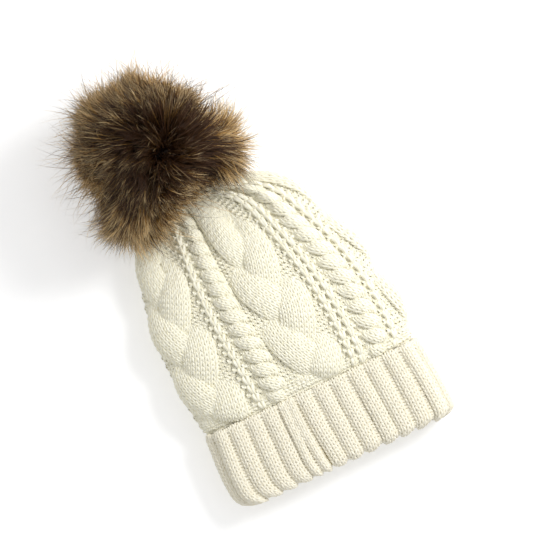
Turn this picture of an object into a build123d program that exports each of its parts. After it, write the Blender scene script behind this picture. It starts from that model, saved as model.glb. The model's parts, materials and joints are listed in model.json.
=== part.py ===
from build123d import *
import os
from math import copysign, cos, pi, sin

# Pom pom beanie, lying flat on its back.
# +Z is up, +Y runs from the hem to the pom, and X runs across the hat. Lengths are in millimetres.
# While it is built, y is counted from the hem. The finished pieces move so that the origin is on
# the resting surface, under the middle of the whole hat.

# Hat
hat_width = 201.0
cuff_height = 70.0
cuff_thickness = 38.0
knit_wall = 6.0
layer_gap = 0.4
fold_depth = 3.0
band_top = 72.0
cuff_corner = 17.0
fold_radius = 5.0

# Crown: y, middle x, half width, lowest z and highest z of each outer section
band_half_width = hat_width / 2 - knit_wall - layer_gap
band_low = knit_wall + layer_gap
band_high = cuff_thickness - knit_wall - layer_gap
flat_cut = 1.2
crown_sections = [
    (band_top, 0.0, band_half_width, band_low, band_high),
    (84.0, 0.5, 98.0, -flat_cut, 39.0),
    (108.0, 1.0, 99.0, -flat_cut, 42.0),
    (145.0, -0.5, 96.5, -flat_cut, 42.0),
    (185.0, -3.5, 89.0, -flat_cut, 39.0),
    (212.0, -5.0, 80.0, -flat_cut, 33.0),
    (235.0, -7.0, 68.0, -flat_cut, 26.0),
    (253.0, -12.0, 47.0, -flat_cut, 20.5),
    (266.0, -17.0, 20.0, 2.5, 16.0),
]
section_points = 20
section_power = 2.7
crown_inside_end = 257.0

# Pom: a ball of fur whose axis leans up out of the crown's tip
pivot = Vector(-20.0, 256.0, 25.0)
pom_radius = 66.0
pom_middle = Vector(-20.0, 304.0, pom_radius)
pom_core_radius = 34.0
pom_flat = 6.5
funnel_mouth_radius = 37.0
funnel_neck_radius = 17.6

# Crown tip, as heights above the pivot along the pom's axis
gather_radius = 15.0
gather_clearance = 0.6
gather_hollow = 9.0
gather_skirt = -3.0
neck_radius = 8.4
neck_start = 10.0
gather_top = 19.0
yarn_height = 15.0
yarn_radius = 1.3

# Snap fastener, as heights above the pivot along the pom's axis
moving_gap = 0.3
cap_radius = 7.0
cap_thickness = 1.2
washer_radius = 7.6
washer_thickness = 1.5
washer_top = 7.6
post_radius = 1.7
post_clearance = 0.05
rivet_radius = 2.4
rivet_height = 0.6
flange_thickness = 1.0
socket_radius = 6.5
collar_radius = 4.6
socket_floor = 0.8
socket_bore = 3.0
socket_top = 22.6
stud_flange_bottom = socket_top + moving_gap
stud_radius = socket_bore - post_clearance
stud_tip = 20.8
stud_lead_in = 0.5
stud_post_radius = 1.2
post_depth = 0.8
stud_cap_radius = 6.0

# Underside of the pom
disc_bottom = stud_flange_bottom + flange_thickness + moving_gap
disc_radius = 17.0
disc_thickness = 1.6
cap_room_radius = 6.8
core_room = 4.0
drawstring_height = 27.4
drawstring_ring = 10.5
drawstring_radius = 0.9

# Seam and label
seam_x = 0.0
seam_radius = 2.2
seam_start = 6.0
seam_step = 18.0
seam_end = 226.0
seam_bend = 18.0
label_width = 22.0
label_length = 32.0
label_thickness = 0.6
label_y = 34.0

hat_length = pom_middle.Y + pom_radius
to_origin = Location((0, -hat_length / 2, 0))


def oval_face(y, x_mid, half_width, z_low, z_high):
    """Face across the hat at y: a flattened oval with full, rounded sides."""
    z_mid = (z_low + z_high) / 2
    half_height = (z_high - z_low) / 2
    points = []
    for step in range(section_points):
        angle = 2 * pi * step / section_points
        across = copysign(abs(cos(angle)) ** (2 / section_power), cos(angle))
        up = copysign(abs(sin(angle)) ** (2 / section_power), sin(angle))
        points.append((x_mid + half_width * across, y, z_mid + half_height * up))
    return make_face(Spline(*points, periodic=True))


def inner_section(y, x_mid, half_width, z_low, z_high):
    """The section one knit wall inside the given one."""
    floor = max(z_low, 0.0) + knit_wall
    return y, x_mid, half_width - knit_wall, floor, z_high - knit_wall


def half_space_below(z, size=600.0):
    """A large block whose top face is at z."""
    return Pos(0, 0, z - size / 2) * Box(size, 2 * size, size)


def flat_tube(y_start, y_end, half_width, z_low, z_high, wall):
    """A straight flattened tube along Y with rounded sides."""
    height = z_high - z_low
    outer = RectangleRounded(2 * half_width, height, min(cuff_corner, height / 2 - 0.2))
    inner_height = height - 2 * wall
    inner_corner = min(cuff_corner, inner_height / 2 - 0.2)
    inner = RectangleRounded(2 * (half_width - wall), inner_height, inner_corner)
    plane = Plane(origin=(0, y_start, (z_low + z_high) / 2), x_dir=(1, 0, 0), z_dir=(0, 1, 0))
    return extrude(plane * (outer - inner), y_end - y_start)


def make_crown():
    """The knitted dome: a lofted shell with a flat underside and a round seat for the gather."""
    outer = loft([oval_face(*section) for section in crown_sections])
    inner_list = [inner_section(*section) for section in crown_sections[:-1]]
    y, x_mid, half_width, z_low, z_high = inner_list[-1]
    inner_list[-1] = (crown_inside_end, x_mid, half_width * 0.8, z_low, z_high)
    inner = loft([oval_face(*section) for section in inner_list])
    seat = Location(pivot) * Sphere(gather_radius + gather_clearance)
    return outer - inner - half_space_below(0.0) - seat


def make_rib_band():
    """The standing layer of the ribbed band, from the fold up to the crown."""
    return flat_tube(fold_depth + layer_gap, band_top, band_half_width, band_low, band_high, knit_wall)


def make_cuff():
    """The turned-up layer, with the fold along its lower edge."""
    outer_layer = flat_tube(0.0, cuff_height, hat_width / 2, 0.0, cuff_thickness, knit_wall)
    fold_wall = 2 * knit_wall + layer_gap
    fold = flat_tube(0.0, fold_depth, hat_width / 2, 0.0, cuff_thickness, fold_wall)
    cuff = outer_layer + fold
    rim = cuff.faces().filter_by(Axis.Y).sort_by(Axis.Y)[0]
    return fillet(rim.outer_wire().edges(), fold_radius)


def make_seam():
    """Round ridge along the inside of the back, stepping down from the band to the crown."""
    band_floor = band_low + knit_wall
    points = [
        (seam_x, seam_start, band_floor),
        (seam_x, band_top + 1.0, band_floor),
        (seam_x, band_top + seam_step, knit_wall),
        (seam_x, seam_end, knit_wall),
    ]
    route = FilletPolyline(*points, radius=seam_bend)
    return sweep(Plane(origin=route @ 0, z_dir=route % 0) * Circle(seam_radius), path=route)


def make_label():
    """Blank folded tag that lies flat inside the band, sewn in beside the seam."""
    x_mid = seam_x + seam_radius + label_width / 2
    z_mid = band_low + knit_wall + label_thickness / 2
    return Pos(x_mid, label_y, z_mid) * Box(label_width, label_length, label_thickness)


# The pieces below are turned about the pom's axis, which is their own +Z, from the pivot up.


def disc(radius, bottom, top):
    """Cylinder on the pom's axis between two heights."""
    return Pos(0, 0, (bottom + top) / 2) * Cylinder(radius, top - bottom)


def cord_ring(height, major, minor):
    """Round cord lying in a circle about the pom's axis."""
    return Pos(0, 0, height) * Torus(major, minor)


def make_gather():
    """Drawn-in tip of the crown: a dome that opens into the hat, with a short neck above."""
    dome = Sphere(gather_radius) - disc(2 * gather_radius, -2 * gather_radius, gather_skirt)
    neck = disc(neck_radius, neck_start, gather_top)
    hollow = disc(gather_hollow, -gather_radius, washer_top)
    post_hole = disc(post_radius + post_clearance, 0.0, gather_top)
    groove = cord_ring(yarn_height, neck_radius, yarn_radius)
    return dome + neck - hollow - post_hole - groove


def make_gather_yarn():
    """Yarn tied round the neck."""
    return cord_ring(yarn_height, neck_radius, yarn_radius)


def make_washer():
    """Felt washer between the knit and the cap."""
    washer = disc(washer_radius, washer_top - washer_thickness, washer_top)
    return washer - disc(post_radius + post_clearance, 0.0, gather_top)


def make_socket_cap():
    """Cap inside the crown, with the post that holds the socket."""
    cap_top = washer_top - washer_thickness
    cap = disc(cap_radius, cap_top - cap_thickness, cap_top)
    cap = chamfer(cap.edges().sort_by(Axis.Z)[0], cap_thickness / 3)
    post = disc(post_radius, cap_top, gather_top + socket_floor)
    head_bottom = gather_top + socket_floor
    return cap + post + disc(rivet_radius, head_bottom, head_bottom + rivet_height)


def make_socket():
    """Female half of the snap: a flange with a raised collar."""
    flange = disc(socket_radius, gather_top, gather_top + flange_thickness)
    collar = disc(collar_radius, gather_top, socket_top)
    bore = disc(socket_bore, gather_top + socket_floor, socket_top)
    return flange + collar - bore - disc(post_radius + post_clearance, 0.0, socket_top)


def make_stud():
    """Male half of the snap: a flange with the stud under it, bored for its own post."""
    flange_top = stud_flange_bottom + flange_thickness
    flange = disc(socket_radius, stud_flange_bottom, flange_top)
    stud = disc(stud_radius, stud_tip, stud_flange_bottom)
    stud = chamfer(stud.edges().sort_by(Axis.Z)[0], stud_lead_in)
    post_hole = disc(stud_post_radius + post_clearance, stud_tip + post_depth, flange_top)
    return flange + stud - post_hole


def make_stud_cap():
    """Cap inside the pom, with the post that runs down into the stud."""
    cap_bottom = disc_bottom + disc_thickness + moving_gap
    post = disc(stud_post_radius, stud_tip + post_depth, cap_bottom)
    return post + disc(stud_cap_radius, cap_bottom, cap_bottom + cap_thickness)


def make_base_disc():
    """Disc that closes the underside of the pom."""
    plate = disc(disc_radius, disc_bottom, disc_bottom + disc_thickness)
    return plate - disc(stud_post_radius + post_clearance, 0.0, disc_bottom + disc_thickness)


def make_fur_cover():
    """Thick ball of fur round the stuffing, parted under the pom where the crown's tip comes in."""
    ball_height = (pom_middle - pivot).length
    disc_top = disc_bottom + disc_thickness
    ball = Pos(0, 0, ball_height) * Sphere(pom_radius)
    core = Pos(0, 0, ball_height) * Sphere(pom_core_radius)
    underside = disc(2 * pom_radius, -pom_radius, pom_flat)
    funnel_height = disc_bottom - pom_flat
    funnel = Cone(funnel_mouth_radius, funnel_neck_radius, funnel_height)
    funnel = Pos(0, 0, pom_flat + funnel_height / 2) * funnel
    disc_seat = disc(disc_radius + post_clearance, disc_bottom, disc_top)
    cap_room = disc(cap_room_radius, disc_top, disc_top + core_room)
    groove = cord_ring(drawstring_height, drawstring_ring, drawstring_radius)
    return ball - core - underside - funnel - disc_seat - cap_room - groove


def make_drawstring():
    """Thread that gathers the edge of the fur cover."""
    return cord_ring(drawstring_height, drawstring_ring, drawstring_radius)


def make_stuffing():
    """Fibre ball, flat where it meets the cap."""
    ball_height = (pom_middle - pivot).length
    ball = Pos(0, 0, ball_height) * Sphere(pom_core_radius - post_clearance)
    cap_top = disc_bottom + disc_thickness + moving_gap + cap_thickness
    return ball - disc(2 * pom_core_radius, 0.0, cap_top + moving_gap)


def main():
    os.makedirs("parts", exist_ok=True)
    seam = make_seam()
    laid_flat = {
        "cable_knit_crown": make_crown() - seam,
        "rib_band": make_rib_band() - seam,
        "turned_up_cuff": make_cuff(),
        "back_seam": seam,
        "care_label": make_label(),
    }
    on_pom_axis = {
        "crown_gather": make_gather(),
        "gather_yarn": make_gather_yarn(),
        "backing_washer": make_washer(),
        "socket_cap": make_socket_cap(),
        "snap_socket": make_socket(),
        "snap_stud": make_stud(),
        "stud_cap": make_stud_cap(),
        "pom_base_disc": make_base_disc(),
        "pom_fur_cover": make_fur_cover(),
        "pom_drawstring": make_drawstring(),
        "pom_stuffing": make_stuffing(),
    }
    pom_axis = Plane(origin=pivot, x_dir=(1, 0, 0), z_dir=pom_middle - pivot).location
    for name, shape in laid_flat.items():
        export_step(to_origin * shape, f"parts/{name}.step")
    for name, shape in on_pom_axis.items():
        export_step(to_origin * pom_axis * shape, f"parts/{name}.step")


main()
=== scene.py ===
# Pom pom beanie lying flat: yarn-level knit, long fur and a snap, built around the CAD frame.
# Shapes are worked out in millimetres, with y counted from the hem, and become metres in add_mesh.
import json
import math

import bpy
import numpy as np
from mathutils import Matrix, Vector


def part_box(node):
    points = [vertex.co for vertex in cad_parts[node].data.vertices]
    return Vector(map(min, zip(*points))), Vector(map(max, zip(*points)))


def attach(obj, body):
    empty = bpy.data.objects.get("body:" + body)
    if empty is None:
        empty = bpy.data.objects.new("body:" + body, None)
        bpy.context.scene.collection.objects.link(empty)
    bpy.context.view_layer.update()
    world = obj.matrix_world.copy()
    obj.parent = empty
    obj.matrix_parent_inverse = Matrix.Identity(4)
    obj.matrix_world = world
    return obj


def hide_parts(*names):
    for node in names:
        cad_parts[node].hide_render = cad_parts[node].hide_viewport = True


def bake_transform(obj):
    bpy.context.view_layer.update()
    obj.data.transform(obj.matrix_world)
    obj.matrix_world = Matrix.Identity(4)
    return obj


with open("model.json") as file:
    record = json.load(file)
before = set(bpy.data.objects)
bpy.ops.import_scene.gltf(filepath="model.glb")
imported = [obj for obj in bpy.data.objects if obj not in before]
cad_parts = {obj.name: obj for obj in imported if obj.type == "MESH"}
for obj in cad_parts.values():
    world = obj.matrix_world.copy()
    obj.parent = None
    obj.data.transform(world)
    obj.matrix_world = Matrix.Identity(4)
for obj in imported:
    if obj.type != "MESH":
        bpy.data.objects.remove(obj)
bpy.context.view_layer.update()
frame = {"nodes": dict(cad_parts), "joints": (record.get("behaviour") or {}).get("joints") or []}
rng = np.random.default_rng(7)

MM = 0.001
TAU = 2 * math.pi
BAKE_UV = "OFBake"


# ---- places read from the frame

HEM = np.array((0.0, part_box("turned_up_cuff")[0][1] / MM, 0.0))


def node_box(node):
    """Lowest and highest corner of a CAD node."""
    low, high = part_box(node)
    return np.array(low) / MM - HEM, np.array(high) / MM - HEM


def joint(name):
    return next(j for j in frame["joints"] if j["name"] == name)


cuff_low, cuff_high = node_box("turned_up_cuff")
_, CUFF_HEIGHT, CUFF_THICKNESS = cuff_high - cuff_low
CUFF_HALF_WIDTH = (cuff_high[0] - cuff_low[0]) / 2
PIVOT = np.array(joint("pom_nod")["pos_m"]) / MM - HEM
POM_AXIS = np.array(joint("pom_swivel")["axis"], float)
POM_AXIS /= np.linalg.norm(POM_AXIS)
POM_MIDDLE = sum(node_box("pom_fur_cover")) / 2
POM_TILT = math.atan2(POM_AXIS[2], POM_AXIS[1])


def along_pom_axis(height):
    """Point on the pom's axis, at a height above the pivot."""
    return PIVOT + POM_AXIS * height


# ---- small tools

def smooth_step(x, low, high):
    t = np.clip((x - low) / (high - low), 0, 1)
    return t * t * (3 - 2 * t)


def unit(v):
    return v / np.maximum(np.linalg.norm(v, axis=-1, keepdims=True), 1e-9)


def curve_through(keys, values, at):
    """Smooth curve through rows of values: a cubic Hermite with averaged slopes."""
    keys = np.asarray(keys, float)
    values = np.asarray(values, float)
    slopes = np.gradient(values, keys, axis=0)
    i = np.clip(np.searchsorted(keys, at, side="right") - 1, 0, len(keys) - 2)
    span = keys[i + 1] - keys[i]
    t = ((at - keys[i]) / span)[:, None]
    span = span[:, None]
    a = (2 * t**3 - 3 * t**2 + 1) * values[i] + (t**3 - 2 * t**2 + t) * span * slopes[i]
    b = (3 * t**2 - 2 * t**3) * values[i + 1] + (t**3 - t**2) * span * slopes[i + 1]
    return a + b


def stacked(*coordinates):
    """Points from their separate coordinates."""
    return np.stack(np.broadcast_arrays(*coordinates), -1)


def way_along(line):
    """How far along a line of points each one is."""
    return np.concatenate([[0], np.cumsum(np.linalg.norm(np.diff(line, axis=0), axis=1))])


def evenly(line, count, endpoint=True):
    """The line again, with its points an equal distance apart, and how far along it they are."""
    reached = way_along(line)
    at = np.linspace(0, reached[-1], count, endpoint=endpoint)
    return stacked(*(np.interp(at, reached, axis) for axis in line.T)), at


def waves(seed, count, *axes):
    """Smooth noise from a few sines, about -1 to 1, over coordinates in turns."""
    random = np.random.default_rng(seed)
    total = 0.0
    for _ in range(count):
        phase = random.uniform(0, TAU)
        for axis, reach in axes:
            phase = phase + axis * random.uniform(-reach, reach)
        total = total + np.sin(phase)
    return total / math.sqrt(count)


def add_object(name, data):
    """Object in the scene from its data."""
    thing = bpy.data.objects.new(name, data)
    bpy.context.scene.collection.objects.link(thing)
    return thing


def add_mesh(name, points, faces, material, uv=None):
    """Mesh object from points in mm and faces of 3 or 4 corners, with a UV for each corner."""
    faces = np.asarray(faces, np.int32)
    corners = faces.shape[1]
    points = np.asarray(points, float).reshape(-1, 3) + HEM
    mesh = bpy.data.meshes.new(name)
    mesh.vertices.add(len(points))
    mesh.vertices.foreach_set("co", (points * MM).astype(np.float32).ravel())
    mesh.loops.add(faces.size)
    mesh.loops.foreach_set("vertex_index", faces.ravel())
    mesh.polygons.add(len(faces))
    mesh.polygons.foreach_set("loop_start", np.arange(len(faces), dtype=np.int32) * corners)
    if uv is not None:
        layer = mesh.uv_layers.new(name=BAKE_UV)
        layer.data.foreach_set("uv", np.asarray(uv, np.float32).ravel())
    mesh.update(calc_edges=True)
    mesh.validate()
    mesh.shade_smooth()
    mesh.materials.append(material)
    return add_object(name, mesh)


def grid_faces(rows, columns, closed=False):
    """Quads over a grid of points, closed round its columns where asked."""
    r, c = np.meshgrid(np.arange(rows - 1), np.arange(columns if closed else columns - 1), indexing="ij")
    low, high, c2 = r * columns, (r + 1) * columns, (c + 1) % columns
    return stacked(low + c, low + c2, high + c2, high + c).reshape(-1, 4)


# ---- the hat's surface

# Sections of the crown under its yarn: y, middle x, middle z, lean in degrees,
# half width, half height. The last ones climb the pom's axis to the gathered neck.
NECK_HEIGHTS = (9.0, 15.0, 19.5)
neck_low, neck_yarn, neck_top = (along_pom_axis(h) for h in NECK_HEIGHTS)
axis_lean = math.degrees(POM_TILT)
CROWN_SECTIONS = [
    (64.0, 0.3, 19.0, 0.0, 88.0, 10.5),
    (69.0, 0.4, 19.2, 0.0, 90.5, 12.6),
    (73.0, 0.6, 19.6, 0.0, 94.0, 16.2),
    (80.0, 0.8, 20.2, 0.0, 96.0, 18.0),
    (95.0, 1.0, 21.0, 0.0, 97.0, 18.8),
    (115.0, 1.0, 21.4, 0.0, 97.0, 19.0),
    (145.0, -0.5, 21.2, 0.0, 95.0, 18.8),
    (180.0, -3.0, 20.0, 0.0, 88.5, 17.6),
    (205.0, -4.8, 18.6, 0.0, 80.5, 16.0),
    (226.0, -6.0, 17.2, 2.0, 71.5, 14.4),
    (242.0, -9.0, 17.2, 7.0, 58.0, 13.4),
    (252.0, -13.0, 19.2, 14.0, 42.0, 12.6),
    (258.5, -17.0, 23.4, 26.0, 26.0, 11.8),
    (neck_low[1], -20.0, neck_low[2], axis_lean, 13.0, 10.5),
    (neck_yarn[1], -20.0, neck_yarn[2], axis_lean, 7.6, 7.6),
    (neck_top[1], -20.0, neck_top[2], axis_lean, 8.6, 8.6),
]
# The sections are flattened ovals, and turn round from this half width down to the neck's.
ROUNDNESS = 2.6
OVAL_FROM = 48.0
NECK_HALF_WIDTH = 8.0
ROW_DRIFT = 2.6
PERIMETER = 444.0
# The cuff's skew, and the y from which the crown straightens and is straight.
SKEW = 0.052
SKEW_ENDS = (90.0, 190.0)
# Nothing goes lower than this, and the surface has this many points round and along.
FLOOR = 0.2
AROUND, ALONG = 480, 260


def skewed(points):
    """The cuff sits a little askew on the table, and the crown straightens out of it."""
    fade = 1 - smooth_step(points[..., 1], *SKEW_ENDS)
    out = points.copy()
    out[..., 1] -= SKEW * points[..., 0] * fade
    return out


def crown_grid():
    """Points of the crown's surface: rows from the cuff to the neck, columns round the hat."""
    table = np.array(CROWN_SECTIONS)
    travel = way_along(table[:, [0, 2]])
    fine = curve_through(travel, table, np.linspace(0, travel[-1], 2 * ALONG))
    angle = math.pi / 2 - np.linspace(0, TAU, 4 * AROUND, endpoint=False)
    loops = []
    for y, x_mid, z_mid, lean, half_width, half_height in fine:
        flatness = np.clip((half_width - NECK_HALF_WIDTH) / (OVAL_FROM - NECK_HALF_WIDTH), 0, 1)
        roundness = 2 + (ROUNDNESS - 2) * flatness
        across = np.sign(np.cos(angle)) * abs(np.cos(angle)) ** (2 / roundness) * half_width
        up = np.sign(np.sin(angle)) * abs(np.sin(angle)) ** (2 / roundness) * half_height
        tip = math.radians(lean)
        loop = stacked(x_mid + across, y - up * math.sin(tip), z_mid + up * math.cos(tip))
        loops.append(evenly(np.concatenate([loop, loop[:1]]), AROUND, endpoint=False)[0])
    loops = np.array(loops)
    # Every wale has as many rows: rows drift up where the way to the tip is longer.
    steps = np.linalg.norm(np.diff(loops, axis=0), axis=2)
    reached = np.concatenate([np.zeros((1, AROUND)), np.cumsum(steps, axis=0)])
    middle = reached[-1, 0]
    share = np.linspace(0, 1, ALONG)
    out = np.empty((ALONG, AROUND, 3))
    for k in range(AROUND):
        want = middle * share + (reached[-1, k] - middle) * share**ROW_DRIFT
        for axis in range(3):
            out[:, k, axis] = np.interp(want, reached[:, k], loops[:, k, axis])
    return out, middle


CROWN_GRID, CROWN_LENGTH = crown_grid()


def grid_normals(grid):
    """Directions straight out of the crown's surface at its points."""
    along = np.gradient(grid, axis=0)
    around = np.roll(grid, -1, axis=1) - np.roll(grid, 1, axis=1)
    return unit(np.cross(around, along))


CROWN_NORMALS = grid_normals(CROWN_GRID)
CROWN_GIRTH = np.linalg.norm(np.roll(CROWN_GRID, -1, axis=1) - CROWN_GRID, axis=2).sum(1)


def look_up(grid, row, column):
    """Values between the grid's points, wrapping round the columns."""
    row = np.clip(row, 0, grid.shape[0] - 1.001)
    r = row.astype(int)
    c = np.floor(column).astype(int)
    fr = (row - r)[..., None]
    fc = (column - c)[..., None]
    c0, c1 = c % grid.shape[1], (c + 1) % grid.shape[1]
    near = grid[r, c0] * (1 - fc) + grid[r, c1] * fc
    far = grid[r + 1, c0] * (1 - fc) + grid[r + 1, c1] * fc
    return near * (1 - fr) + far * fr


# Grooves that run down from the gathered tip: place round the hat, width, depth, and the y
# where each one starts and where it is full depth.
GROOVES = [
    (-18.0, 2.2, 1.8, 150.0, 180.0),
    (18.0, 7.0, 3.0, 200.0, 235.0),
    (62.0, 6.0, 3.4, 190.0, 225.0),
    (-62.0, 8.0, 2.4, 195.0, 235.0),
    (96.0, 9.0, 3.0, 200.0, 235.0),
    *((middle, 10.0, 3.0, 190.0, 230.0) for middle in (135.0, 176.0, 222.0, -128.0, -176.0)),
]
# Hand knitting wanders round the hat and stands up unevenly, over patches of this size.
SWAY = 0.9
UNEVEN = 0.55
PATCH = 30.0
# Relief is lower where the knit is drawn together (slope and least share), and pressed underneath.
TIP_RELIEF = (2.2, 0.2)
PRESSED = 0.5
FRONT_Y = CROWN_GRID[:, 0, 1]
ROW_LENGTHS = np.linspace(0, CROWN_LENGTH, ALONG)


def row_of_y(y):
    """Way up the middle of the front, in mm, at which it reaches y."""
    return np.interp(y, FRONT_Y, ROW_LENGTHS)


def squeeze(r):
    """How much of its widest girth the hat has at this row."""
    return np.interp(r, ROW_LENGTHS, CROWN_GIRTH) / CROWN_GIRTH.max()


def groove_depth(p, r):
    """How deep the grooves are, p mm round the hat and r mm up."""
    depth = 0.0
    for middle, width, full, start, end in GROOVES:
        away = (p - middle + PERIMETER / 2) % PERIMETER - PERIMETER / 2
        deepening = smooth_step(r, row_of_y(start), row_of_y(end))
        depth = depth + full * np.exp(-(away / width) ** 2) * deepening
    return depth


def on_crown(p, r, h):
    """Points p mm round from the middle of the front, r mm up and h mm out, and their normals."""
    around = TAU * p / PERIMETER
    uneven = waves(51, 6, (np.cos(around), 9.0), (np.sin(around), 9.0), (r / PATCH, 1.5))
    sway = waves(52, 5, (np.cos(around), 5.0), (np.sin(around), 5.0), (r / PATCH, 1.2))
    p = p + SWAY * sway
    h = h + UNEVEN * uneven
    row = r / CROWN_LENGTH * (ALONG - 1)
    column = p / PERIMETER * AROUND
    normal = unit(look_up(CROWN_NORMALS, row, column))
    steepness, least = TIP_RELIEF
    rise = (h - groove_depth(p, r)) * np.clip(squeeze(r) * steepness, least, 1)
    rise = rise * np.where(rise > 0, 1 - PRESSED * smooth_step(-normal[..., 2], 0.2, 0.8), 1)
    point = look_up(CROWN_GRID, row, column) + normal * rise[..., None]
    return skewed(point), normal


# The cuff: a rounded rectangle round the hat, and a profile that comes from inside the mouth,
# turns round the hem and climbs the outside to a rolled top edge.
CUFF_CORNER = 17.0
FOLD = 5.0
TOP_ROLL = 2.6
YARN_REST = 1.4
INSIDE_REACH = 5.0
WALL = 6.4
CORNER_POINTS = 40
PROFILE_POINTS = 200


def facing_out(line):
    """Directions across a line of 2-D points, to the left of the way it runs."""
    return stacked(-line[:, 1], line[:, 0])


def cuff_loop():
    """The cuff's outline in x and z from the top's middle: even points, their normals and its length."""
    flat = CUFF_HALF_WIDTH - CUFF_CORNER
    side = CUFF_THICKNESS / 2 - CUFF_CORNER
    points = []
    for sign_x, sign_z, start in ((1, 1, 90), (1, -1, 0), (-1, -1, -90), (-1, 1, -180)):
        turn = np.radians(np.linspace(start, start - 90, CORNER_POINTS))
        corner = np.array((sign_x * flat, sign_z * side + CUFF_THICKNESS / 2))
        points.append(corner + CUFF_CORNER * stacked(np.cos(turn), np.sin(turn)))
    loop = np.concatenate(points)
    loop = np.concatenate([[[0, CUFF_THICKNESS]], loop, [[0, CUFF_THICKNESS]]])
    even, _ = evenly(loop, 2 * AROUND, endpoint=False)
    ahead = unit(np.roll(even, -1, axis=0) - np.roll(even, 1, axis=0))
    return even, facing_out(ahead), way_along(loop)[-1]


CUFF_LOOP, CUFF_OUT, CUFF_ROUND = cuff_loop()


def cuff_profile():
    """The cuff's profile from inside the mouth to the top edge: y and outward offset, normals, way along."""
    low = FOLD + YARN_REST
    inner = -YARN_REST - 2 * FOLD
    inside = [(low + INSIDE_REACH * (1 - k / 4), inner) for k in range(4)]
    turn = np.linspace(0, math.pi, 24)
    hem = [(low - FOLD * math.sin(a), inner + FOLD * (1 - math.cos(a))) for a in turn]
    roll = np.linspace(0, math.radians(100), 8)
    top = CUFF_HEIGHT - YARN_REST - TOP_ROLL
    edge = [(top + TOP_ROLL * math.sin(a), -YARN_REST - TOP_ROLL * (1 - math.cos(a))) for a in roll]
    even, at = evenly(np.array(inside + hem + edge), PROFILE_POINTS)
    return even, facing_out(unit(np.gradient(even, axis=0))), at


CUFF_LINE, CUFF_FACING, CUFF_WAY = cuff_profile()
# Rounding of the cuff's two lower corners, and how far its two ends bow in towards its top.
LEFT_ROUND, RIGHT_ROUND = 17.0, 9.0
LEFT_BOW, RIGHT_BOW = 3.5, 1.05


def bulged(x, y):
    """The cuff's ends round off towards the hem, more on the left."""
    reach = np.where(x < 0, LEFT_ROUND, RIGHT_ROUND)
    low = np.clip((reach - y) / reach, 0, 1)
    inset = reach * (1 - np.sqrt(1 - 0.96 * low**2))
    inset = inset + np.where(x < 0, LEFT_BOW, RIGHT_BOW) * smooth_step(y, CUFF_HEIGHT * 0.4, CUFF_HEIGHT)
    return x * (1 - inset / CUFF_HALF_WIDTH)


def round_cuff(u, y, out):
    """Points u mm round the cuff's outline, at y and an offset outwards."""
    column = u / CUFF_ROUND * len(CUFF_LOOP)
    c = np.floor(column).astype(int)
    f = (column - c)[..., None]
    c0, c1 = c % len(CUFF_LOOP), (c + 1) % len(CUFF_LOOP)
    place = CUFF_LOOP[c0] * (1 - f) + CUFF_LOOP[c1] * f
    facing = unit(CUFF_OUT[c0] * (1 - f) + CUFF_OUT[c1] * f)
    flat = place + facing * out[..., None]
    point = stacked(bulged(flat[..., 0], y), y, flat[..., 1])
    return skewed(point), facing


def on_cuff(u, s, h):
    """Points u mm round the cuff, s mm along its profile and h mm out, and their normals."""
    y, out = (np.interp(s, CUFF_WAY, CUFF_LINE[:, k]) for k in range(2))
    face_y, face_out = (np.interp(s, CUFF_WAY, CUFF_FACING[:, k]) for k in range(2))
    point, facing = round_cuff(u, y + face_y * h, out + face_out * h)
    normal = stacked(facing[..., 0] * face_out, face_y, facing[..., 1] * face_out)
    return point, unit(normal)


def on_band(u, s, h):
    """Points on the outside of the rib band under the cuff, s mm up from its lower edge."""
    point, facing = round_cuff(u, s + FOLD, -WALL - YARN_REST + h)
    return point, stacked(facing[..., 0], 0.0, facing[..., 1])


def in_band(u, s, h):
    """Points on the inside of the rib band, s mm up from its lower edge."""
    point, normal = on_band(u, s, 2 * YARN_REST - WALL - h)
    return point, -normal


# ---- yarn

# Yarn radius, the spacing of stitches across and along, and how far a stitch's loop reaches.
YARN = 1.12
WALE = 4.15
ROW = 4.1
LOOP_HEIGHT = 0.98
LOOP_DEPTH = 0.95
EDGE_TURN = 2.4
KNIT, PURL = -1, 1
# How unevenly stitches are made: a share of a loop's width and height, then mm along and mm out.
UNEVEN_LOOP = 0.05
UNEVEN_ROW = 0.1
UNEVEN_HEIGHT = 0.12
# Each stitch takes one cell of the UV square, inset from its edges.
CELLS = 4
CELL_INSET = 0.04


def rings_round(lines, reference, radius, sides):
    """Points round rows of lines, at a radius from each, turned by a reference direction."""
    ahead = unit(np.gradient(lines, axis=1))
    side = unit(np.cross(ahead, reference))
    up = np.cross(side, ahead)
    turn = np.arange(sides) / sides * TAU
    ring = side[:, :, None] * np.cos(turn)[:, None] + up[:, :, None] * np.sin(turn)[:, None]
    points = lines[:, :, None] + ring * radius[:, :, None, None]
    points[..., 2] = np.maximum(points[..., 2], FLOOR)
    return points


def tubes(centres, normals, radius, sides):
    """Closed-round tubes along rows of centres, with a UV cell of its own tone for each one."""
    count, samples = centres.shape[:2]
    points = rings_round(centres, normals, radius, sides)
    one = grid_faces(samples, sides, closed=True)
    faces = (one[None] + (np.arange(count) * samples * sides)[:, None, None]).reshape(-1, 4)
    along, around = np.meshgrid(np.arange(samples - 1), np.arange(sides), indexing="ij")
    along, around = along.ravel(), around.ravel()
    u = stacked(along, along, along + 1, along + 1) / (samples - 1)
    v = stacked(around, around + 1, around + 1, around) / sides
    cell = rng.integers(0, CELLS, (count, 2))
    u = (cell[:, :1, None] + CELL_INSET + u[None] * (1 - 2 * CELL_INSET)) / CELLS
    v = (cell[:, 1:, None] + CELL_INSET + v[None] * (1 - 2 * CELL_INSET)) / CELLS
    return points.reshape(-1, 3), faces, stacked(u, v).reshape(-1, 4, 2)


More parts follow.
